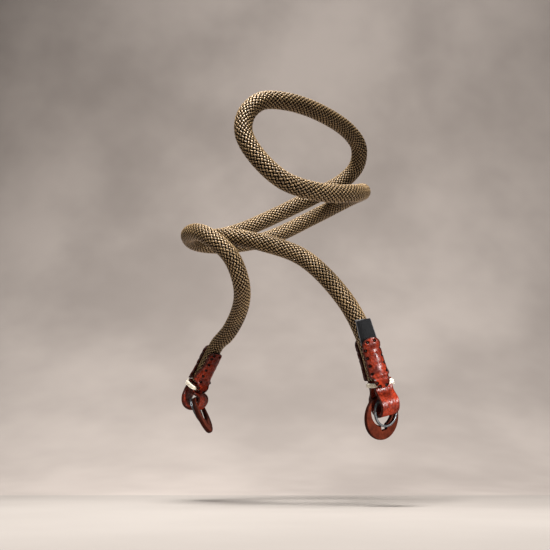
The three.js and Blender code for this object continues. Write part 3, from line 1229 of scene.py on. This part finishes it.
@dataclass
class EndFitting:
    """One end of the strap: loop, bound neck, covered sleeve, split ring and guard."""

    pose: EndPose
    leather: bpy.types.Material
    guard_leather: bpy.types.Material
    thread: bpy.types.Material
    stitch: bpy.types.Material
    steel: bpy.types.Material
    label: bpy.types.Material
    gap: float = 0.3

    cover_top: float = 24.0
    cover_leather: float = 1.6
    cover_bend: float = 6.4
    cover_half_width: float = 5.3
    cover_round: float = 4.6
    cover_foot: float = -1.0
    cover_rim: float = 2.3
    foot_round: float = 1.8
    cover_flare: float = 0.8
    flare_height: float = 9.0
    wrap_height: float = 15.0
    end_narrow: float = 0.3
    tongue_half_width: float = 4.5
    tongue_seat: float = 6.0
    tongue_bend: float = 26.0
    tongue_step_low: float = 1.2
    tongue_step_high: float = 3.0
    tongue_crease: float = 0.6
    far_drop: float = 0.6
    top_holes: tuple[tuple[float, float], ...] = ((-2.0, 22.0), (1.8, 21.9))
    tongue_holes: tuple[tuple[float, float], ...] = ((-3.3, 3.6), (-2.2, 1.5), (1.5, 1.2))

    label_half_width: float = 4.6
    label_widening: float = 0.7
    label_bottom: float = 21.0
    label_top: float = 35.0
    label_thickness: float = 0.7
    label_seat: float = 5.5
    label_bend: float = 8.0
    label_slant: float = -0.18
    label_step_low: float = 4.0
    label_step_high: float = 0.5
    over_label: float = 6.5
    over_label_bend: float = 9.0

    loop_width: float = 11.8
    loop_corner: float = 0.55
    loop_ripple: float = 0.07
    loop_rim: float = 0.9
    fold_steps: int = 38
    side_steps: int = 24
    tail_steps: int = 6
    neck_inside: float = 1.6
    neck_length: float = 4.8

    binding_bottom: float = 0.7
    thread_radius: float = 0.43
    thread_pitch: float = 0.8
    thread_sides: int = 10
    thread_waver: float = 0.06
    turn_steps: int = 72
    first_angle: float = 0.9
    neck_power: float = 0.42

    ring_outer: float = 9.0
    ring_wire: float = 1.2
    ring_depth: float = 1.5
    ring_steps: int = 210
    ring_start: float = np.pi / 2 + 0.3
    ring_open: float = 0.12
    ramp_before: float = 0.55
    ramp_after: float = 0.1
    coil_gap: float = 0.02
    wire_sides: int = 14
    wire_power: float = 0.5
    wire_spread: float = 0.125

    guard_radius: float = 12.8
    guard_hole: float = 8.2
    guard_drop: float = 3.7
    guard_thickness: float = 2.6
    guard_steps: int = 220
    guard_corner: float = 0.7
    guard_rim: float = 0.8
    guard_dull: float = 0.8
    guard_wave: float = 0.06
    slot_half_width: float = 2.2
    slot_depth: float = 2.6

    def name(self, piece: str) -> str:
        """Return a piece's name with its side in front."""
        return f"{self.pose.side.value}_{piece}"

    def round_ends(self, low: float, half: float, foot: float) -> Size:
        """Return half the width at each height of a cover whose ends narrow along an ellipse.

        Args:
            low: where the cover starts.
            half: half its width between the ends.
            foot: how long the narrowing at its foot is.

        Returns:
            Half the width for an array of heights.
        """
        def width(height: Array) -> Array:
            """Return half the width: the half times the root of 1 less a share of the end squared."""
            under = (low + foot - height) / foot
            over = (height - (self.cover_top - self.cover_round)) / self.cover_round
            into = np.clip(np.maximum(under, over), 0, 1)
            return half * np.sqrt(1 - (1 - self.end_narrow**2) * into**2)

        return width

    def cover(self, tongue_length: float, holds_label: bool) -> Strip:
        """Return a cover: a round-topped shell that may rise over the label and reach over the binding.

        Args:
            tongue_length: how far it reaches down over the binding, 0 for a cover that flares at its foot.
            holds_label: whether it rises over the label.

        Returns:
            The cover's strip.
        """
        end = self.pose
        reaches = tongue_length > 0
        low = end.foot - tongue_length if reaches else self.cover_foot
        body = self.round_ends(low, self.cover_half_width, self.foot_round)
        tongue = self.round_ends(low, self.tongue_half_width, self.tongue_half_width)
        step_high = end.foot + self.tongue_step_high

        def half_width(height: Array) -> Array:
            """Return the tongue's half width below, and the body's above, wider at its foot."""
            share = smooth(height, end.foot - self.gap, step_high) if reaches else 1.0
            wrapped = end.wrap * share * (1 - smooth(height, step_high, end.foot + self.wrap_height))
            return tongue(height) + (body(height) - tongue(height)) * share + wrapped

        def between(rope: float, binding: float, label: float) -> Size:
            """Return a size that passes from the binding's to the rope's to the label's."""
            def size(height: Array) -> Array:
                """Return the size at each height, by soft steps."""
                lower = reaches * (1 - smooth(height, end.foot - self.tongue_step_low, step_high))
                label_low = self.label_bottom - self.label_step_low
                upper = holds_label * smooth(height, label_low, self.label_bottom - self.label_step_high)
                return rope + lower * (binding - rope) + upper * (label - rope)

            return size

        flat = between(end.seat, self.tongue_seat, self.over_label)

        def seat(height: Array) -> Array:
            """Return the inner face's distance from the axis, with the flare at the foot."""
            flare = 1 - smooth(height, low, low + self.flare_height)
            return flat(height) + (not reaches) * self.cover_flare * flare

        return Strip(
            low,
            self.cover_top,
            self.cover_leather,
            half_width,
            seat,
            bend=between(self.cover_bend, self.tongue_bend, self.over_label_bend),
            holes=self.stitch_holes(low, reaches),
            crease=end.foot + self.tongue_crease if reaches else None,
            rim_width=self.cover_rim,
        )

    def stitch_holes(self, low: float, reaches: bool) -> tuple[tuple[float, float], ...]:
        """Return the holes up both edges, over the round top and round a tongue, as across and height.

        Args:
            low: where the cover starts.
            reaches: whether it reaches down over the binding in a tongue.

        Returns:
            The holes.
        """
        end = self.pose
        near = tuple((end.stitch_near, up) for up in end.stitch_up)
        far = tuple((end.stitch_far, up - self.far_drop) for up in end.stitch_up)
        tongue = tuple((across, low + up) for across, up in self.tongue_holes) if reaches else ()
        return near + far + self.top_holes + tongue

    def covers(self) -> None:
        """Make both covers and the thread in their stitch holes."""
        end = self.pose
        outer = self.cover(end.tongue_out, end.label)
        inner = self.cover(end.tongue_in, False)
        for word, strip, turn in (("outer", outer, 0), ("inner", inner, 180)):
            place = end.sleeve() @ turned(Axis.Z, turn)
            cover = strip.shell().carried(place).make(self.name(f"{word}_cover"), self.leather, "leather")
            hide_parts(self.name(f"cover_{word}"))
            sewn = StitchDomes(strip.hole_places()).shell().carried(place)
            sewn.make(self.name(f"{word}_stitches"), self.stitch, "thread")

    def label_piece(self) -> None:
        """Make the plain woven label that is tucked under the outer cover."""
        def steady(size: float) -> Size:
            """Return a size that is the same at every height."""
            return lambda height: size + 0 * height

        def half_width(height: Array) -> Array:
            """Return half the width, which grows evenly downwards from the top."""
            share = (self.label_top - height) / (self.label_top - self.label_bottom)
            return self.label_half_width + self.label_widening * share

        tab = Strip(
            self.label_bottom,
            self.label_top,
            self.label_thickness,
            half_width,
            seat=steady(self.label_seat),
            bend=steady(self.label_bend),
            corner=0.3,
            rows=30,
            ripple=0.05,
            slant=self.label_slant,
        )
        shell = tab.shell().carried(self.pose.sleeve())
        piece = shell.make("woven_label", self.label, "label")
        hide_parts("label_tab")

    def side_line(self, sign: float, offset: float) -> Array:
        """Return one side of the loop, from the fold up to the tail's end, as x and z.

        The side is a cubic from the fold's widest point, rising straight, to the neck's foot, where it
        meets the neck's lean, and a straight tail.

        Args:
            sign: 1 for the outer side and -1 for the inner one.
            offset: how far the line lies outside the loop's inner face.

        Returns:
            Points in order upwards.
        """
        end = self.pose
        centre = end.fold_middle()
        kink = math.radians(end.kink)
        lean = np.array([math.sin(kink), math.cos(kink)])
        across = np.array([lean[1], -lean[0]]) * (self.neck_inside + offset)
        rise = (end.neck_start - centre) / 2
        widest = np.array([sign * (end.inside + offset), centre])
        foot = np.array([end.neck, end.neck_start]) + sign * across
        knots = [widest, widest + (0, rise), foot - rise * lean, foot]
        t = np.linspace(0, 1, self.side_steps)[:, None]
        weights = [(1 - t) ** 3, 3 * t * (1 - t) ** 2, 3 * t**2 * (1 - t), t**3]
        curve = sum(weight * knot for weight, knot in zip(weights, knots))
        tail = foot + np.linspace(0.2, 1, self.tail_steps)[:, None] * self.neck_length * lean
        return np.concatenate([curve, tail])

    def loop(self) -> None:
        """Make the loop: a flat rounded section carried down one tail, round the fold and up the other."""
        end = self.pose
        offset = end.leather / 2
        half = end.inside + offset
        angle = -np.linspace(0, np.pi, self.fold_steps)[1:-1]
        fold = soft_oblong(angle, half, half) + (0, end.fold_middle())
        line = np.concatenate([self.side_line(1, offset)[::-1], fold, self.side_line(-1, offset)])
        heading = unit(np.gradient(line, axis=0))
        gone = distances(line)
        points = np.stack([line[:, 0], 0 * gone, line[:, 1]], 1)
        normals = np.stack([heading[:, 1], 0 * gone, -heading[:, 0]], 1)
        sides = np.broadcast_to([0, 1.0, 0], points.shape)
        edge = self.loop_width / 2
        bar = flat_bar(edge, offset, self.loop_corner, across=22, round_steps=4)
        along, wide = np.broadcast_arrays(gone[:, None], bar[None, :, 1])
        wave = np.sin(along * 0.8 + wide * 0.6) * np.sin(wide * 0.9 - along * 0.3)
        ripple = self.loop_ripple * wave * np.sign(bar[:, 0])
        rings = tube_rings(points, normals, sides, bar) + ripple[..., None] * normals[:, None, :]
        rim = smooth(np.abs(wide), edge - self.loop_rim, edge - 0.1)
        dull = 1 - smooth(rings[..., 2], end.fold - 0.5, end.fold + 4.5)
        marks = {"rim": rim, "matte": dull, "hole": 0 * rim}
        shell = swept(end.wrung(rings), np.stack([along, wide], -1), marks).carried(end.fitting())
        piece = shell.make(self.name("leather_loop"), self.leather, "leather")
        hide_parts(self.name("loop"))

    def wound_turns(self, gap: float, turns: float, bottom: float) -> Shell:
        """Wind thread round the neck: a circle carried along a rising rounded rectangle.

        Args:
            gap: how far the thread's middle stands off the neck's leather.
            turns: how many turns.
            bottom: the height of the first turn's middle.

        Returns:
            The thread, in the neck's frame.
        """
        half_x = self.neck_inside + self.pose.leather + gap
        half_y = self.loop_width / 2 + gap
        wound = np.linspace(0, TURN * turns, int(turns * self.turn_steps) + 1)
        angle = wound + self.first_angle
        height = bottom + self.thread_pitch * wound / TURN + self.thread_waver * np.sin(angle * 3.3)
        oblong = soft_oblong(angle, half_x, half_y, self.neck_power)
        line, even = evenly(np.column_stack([oblong, height]), len(angle))
        heading = unit(np.gradient(line, axis=0))
        outs = unit(np.cross(heading, UP))
        turn = around(self.thread_sides)
        thread = soft_oblong(turn, self.thread_radius, self.thread_radius)
        rings = tube_rings(line, outs, np.cross(outs, heading), thread)
        return swept(rings, np.stack(np.meshgrid(even, turn / TURN, indexing="ij"), -1))

    def binding(self) -> None:
        """Make the binding: an under layer of turns and an upper layer that lies in its grooves."""
        bottom = self.binding_bottom + self.thread_radius
        under = self.wound_turns(self.thread_radius + 0.05, 3.0, bottom)
        over = self.wound_turns(self.thread_radius + 0.75, 2.95, bottom - 0.1)
        shell = together([under, over]).carried(self.pose.neck_place())
        piece = shell.make(self.name("wound_binding"), self.thread, "thread")
        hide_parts(self.name("binding"))

    def ring(self) -> None:
        """Make the split ring: a flat wire carried twice round, stepping over by one wire at a ramp."""
        radius = self.ring_outer - self.ring_wire / 2
        half = self.ring_depth / 4
        gone = np.linspace(0, 2 * TURN - self.ring_open, self.ring_steps)
        angle = gone + self.ring_start
        ramp = smooth(gone, TURN - self.ramp_before, TURN + self.ramp_after)
        outs = np.stack([0 * angle, np.cos(angle), np.sin(angle)], 1)
        sides = np.broadcast_to([1.0, 0, 0], outs.shape)
        points = radius * outs + half * (2 * ramp - 1)[:, None] * sides
        turn = around(self.wire_sides)
        spread = turn - self.wire_spread * np.sin(4 * turn)
        wire = soft_oblong(spread, self.ring_wire / 2, half - self.coil_gap, self.wire_power)
        rings = tube_rings(points, outs, sides, wire)
        flat = np.stack(np.meshgrid(angle * radius, turn / TURN, indexing="ij"), -1)
        offset = self.guard_thickness / 2 + self.gap + self.ring_depth / 2
        place = self.pose.hardware() @ moved(offset, 0, self.pose.rise)
        piece = swept(rings, flat).carried(place).make(self.name("steel_ring"), self.steel, "steel")
        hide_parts(self.name("split_ring"))

    def guard(self) -> None:
        """Make the guard: a rounded leather section carried round the hole.

        At each angle the section runs from the hole's edge, which steps out round the slot, to the disc's
        edge, which is a circle about a middle below the hole's. The angles start a little aside of the
        slot's middle, so that none is square to a wall.
        """
        angle = around(self.guard_steps)[:, None] - np.pi / 2 + 0.004
        y, z = np.cos(angle), np.sin(angle)
        reach = -self.guard_drop * z
        outer = reach + np.sqrt(self.guard_radius**2 - self.guard_drop**2 + reach**2)
        floor = (self.guard_hole + self.slot_depth) / np.maximum(-z, 1e-6)
        wall = self.slot_half_width / np.maximum(np.abs(y), 1e-6)
        inner = np.where(z < 0, np.maximum(self.guard_hole, np.minimum(floor, wall)), self.guard_hole)
        half = (outer - inner) / 2
        corner = np.minimum(self.guard_corner, half * 0.6)
        edge, bulge, deep = rounded_section(9, 7, edge_power=1.0, depth_power=0.8)
        across = edge * (half - corner) + bulge * corner
        away = (outer + inner) / 2 + across
        x = self.guard_thickness / 2 * deep + self.guard_wave * np.sin(3 * angle + away * 0.4)
        rings = np.stack([x, away * y, away * z], -1)
        rim = smooth(np.abs(across), half - self.guard_rim, half)
        marks = {"rim": rim, "matte": 0 * rim + self.guard_dull, "hole": 0 * rim}
        flat = np.stack([angle * away, away], -1)
        place = self.pose.hardware() @ moved(0, self.pose.aside, 0)
        shell = swept(rings, flat, marks, looped=True).carried(place)
        piece = shell.make(self.name("round_guard"), self.guard_leather, "guard_leather")
        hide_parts(self.name("guard"))

    def build(self) -> None:
        """Make all the pieces of this end."""
        self.covers()
        self.loop()
        self.binding()
        self.ring()
        self.guard()
        if self.pose.label:
            self.label_piece()


@dataclass
class Studio:
    """The camera, the pale floor with its sweep, and soft lights."""

    eye: tuple[float, float, float] = (291.0, -381.2, -36.3)
    heading: float = 38.0
    pitch: float = 14.4
    lens: float = 50.0
    sensor: float = 36.0
    floor: float = -56.0
    reach: float = 2600.0
    middle: float = 80.0
    wall_start: float = 190.0
    wall_round: float = 620.0
    wall_height: float = 1800.0
    room_tint: Colour = (0.9, 0.92, 1.0, 1.0)
    room_light: float = 0.05

    def camera(self) -> None:
        """Set the camera where the photograph's was."""
        lens = bpy.data.cameras.new("view_camera")
        lens.lens = self.lens
        lens.sensor_width = self.sensor
        lens.clip_start = 0.01
        lens.clip_end = 20.0
        camera = bpy.data.objects.new("view_camera", lens)
        camera.location = [part * METRE for part in self.eye]
        camera.rotation_euler = (math.radians(90 + self.pitch), 0, math.radians(self.heading))
        bpy.context.scene.collection.objects.link(camera)
        bpy.context.scene.camera = camera

    def stand(self, name: str, depth: Array, height: Array, finish: StudioPlaster) -> None:
        """Carry a line of depths and heights sideways to make a floor or a backdrop.

        Args:
            name: the object's name.
            depth: distances from the strap, away from the camera.
            height: heights at those distances.
            finish: its plaster.
        """
        beside, ahead = turned(Axis.Z, self.heading)[:3, :2].T
        wide = np.linspace(-self.reach, self.reach, 27)
        rows = depth[:, None] * ahead + height[:, None] * UP
        points = rows[:, None, :] + wide[:, None] * beside
        quads = grid_quads(len(depth), len(wide))[:, ::-1]
        stand = put(name, points.reshape(-1, 3), quads.tolist(), finish.material())

    def surroundings(self) -> None:
        """Make the floor and the sweep that rises behind it, a quarter circle and a straight wall."""
        depth = np.linspace(-self.reach, self.wall_start, 24)
        floor = StudioPlaster("floor_plaster", "a29a93", "968e87")
        self.stand("floor", depth, self.floor + 0 * depth, floor)
        angle = np.linspace(0, np.pi / 2, 26)
        rise = np.linspace(self.wall_height / 6, self.wall_height, 6)
        depth = self.wall_start + self.wall_round * np.sin(angle)
        height = self.floor + self.wall_round * (1 - np.cos(angle))
        depth = np.concatenate([depth, depth[-1] + 0 * rise])
        height = np.concatenate([height, height[-1] + rise])
        wall = StudioPlaster("sweep_plaster", "b3a8a0", "998f88")
        self.stand("backdrop", depth, height, wall)

    def light(
        self,
        name: str,
        place: tuple[float, float, float],
        size: float,
        power: float,
        spread: float = 180.0,
        aim: tuple[float, float, float] = (0.0, 0.0, 0.0),
        tall: float = 1.0,
    ) -> None:
        """Hang one soft light.

        Args:
            name: the light's name.
            place: where it hangs: to the right, ahead and up of the strap's middle.
            size: its width.
            power: its power in watts.
            spread: the angle of its beam, in degrees.
            aim: the point it faces, measured as its place is.
            tall: its height over its width.
        """
        lamp = bpy.data.lights.new(name, "AREA")
        lamp.shape = "RECTANGLE"
        lamp.size = size * METRE
        lamp.size_y = size * tall * METRE
        lamp.energy = power
        lamp.spread = math.radians(spread)
        studio = turned(Axis.Z, self.heading)
        out = unit(placed(studio, np.subtract(aim, place)))
        side = unit(np.cross(out, UP))
        matrix = np.eye(4)
        matrix[:3, :3] = np.stack([side, np.cross(side, out), -out], 1)
        matrix[:3, 3] = (placed(studio, np.array(place, float)) + (0, 0, self.middle)) * METRE
        holder = bpy.data.objects.new(name, lamp)
        holder.matrix_world = Matrix(matrix.tolist())
        bpy.context.scene.collection.objects.link(holder)

    def lights(self) -> None:
        """Hang a high key, a small low light for gloss, a wide fill and a wall light in a dim room."""
        self.light("key_light", (-60, -330, 620), 230, 8.6, spread=140.0)
        self.light("gloss_light", (514, -435, -50), 40, 0.14, spread=28.0, aim=(50, -55, -60), tall=2.0)
        self.light("fill_light", (-800, -500, 320), 900, 0.6)
        self.light("wall_light", (100, 120, 1300), 600, 6.6, spread=140.0, aim=(100, 800, 200))
        world = bpy.data.worlds.new("soft_room")
        world.use_nodes = True
        background = world.node_tree.nodes["Background"]
        background.inputs["Color"].default_value = self.room_tint
        background.inputs["Strength"].default_value = self.room_light
        bpy.context.scene.world = world
        bpy.context.scene.view_settings.view_transform = "Standard"


def main() -> None:
    """Build the strap and its studio in order."""
    logging.basicConfig(level=logging.INFO, format="%(message)s")
    studio = Studio()
    studio.camera()
    Rope((LEFT_END, RIGHT_END)).build()
    guard_hide = WaxedLeather(
        "guard_hide", red="5f2717", dark="40180d", edge="200b06", rubbed="703722", coat=0.2, crease_depth=0.1,
    )
    finishes = (WaxedLeather(), guard_hide, BoundThread(), StitchThread(), RingSteel(), LabelCloth())
    materials = [finish.material() for finish in finishes]
    for pose in (LEFT_END, RIGHT_END):
        EndFitting(pose, *materials).build()
    studio.surroundings()
    studio.lights()


if __name__ == "__main__":
    main()
